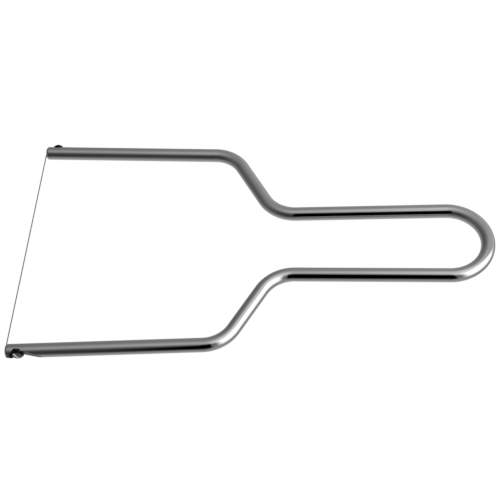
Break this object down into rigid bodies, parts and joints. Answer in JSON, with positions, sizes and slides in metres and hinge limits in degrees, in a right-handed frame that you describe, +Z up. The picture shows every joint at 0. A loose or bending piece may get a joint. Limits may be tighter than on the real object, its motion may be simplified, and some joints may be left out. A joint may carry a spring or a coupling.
{
  "type": "clay wire cutter",
  "caption": "Hand-held clay cutter: a bent steel rod with a looped handle holds a taut wire across its jaw, clamped at each tip by a screw and washer.",
  "frame": {"origin": "under the middle of the tool, on the surface that it lies flat on", "axes": "+X from the wire to the handle loop, +Y across the jaw to the far arm, +Z up from the surface"},
  "size_m": [0.2176, 0.1211, 0.0064],
  "materials": {
    "rod": "bright nickel or chrome plate, smooth, with faint drawing lines",
    "wire": "drawn stainless spring wire",
    "hardware": "blackened steel, worn bright on the screws' faces"
  },
  "bodies": {
    "frame": {"rod_frame": "rod", "cutting_wire": "wire"},
    "near_clamp": {"near_washer": "hardware"},
    "near_fastener": {"near_screw": "hardware"},
    "far_clamp": {"far_washer": "hardware"},
    "far_fastener": {"far_screw": "hardware"}
  },
  "joints": [
    {"name": "near_lift", "type": "slide", "parent": "frame", "child": "near_clamp", "axis": [-0.0096, -1, 0], "range_m": [0, 0.00191]},
    {"name": "near_unscrew", "type": "hinge", "parent": "near_clamp", "child": "near_fastener", "pos_m": [-0.10311, -0.05855, 0.00317], "axis": [-0.0096, -1, 0], "range_deg": [0, 1080]},
    {"name": "far_lift", "type": "slide", "parent": "frame", "child": "far_clamp", "axis": [0.0096, 1, 0], "range_m": [0, 0.00191]},
    {"name": "far_unscrew", "type": "hinge", "parent": "far_clamp", "child": "far_fastener", "pos_m": [-0.10197, 0.05971, 0.00317], "axis": [0.0096, 1, 0], "range_deg": [0, 1080]}
  ],
  "couplings": [
    {"joint": "near_unscrew", "follows": "near_lift", "rad_per_m": 9894.8},
    {"joint": "far_unscrew", "follows": "far_lift", "rad_per_m": 9894.8}
  ]
}
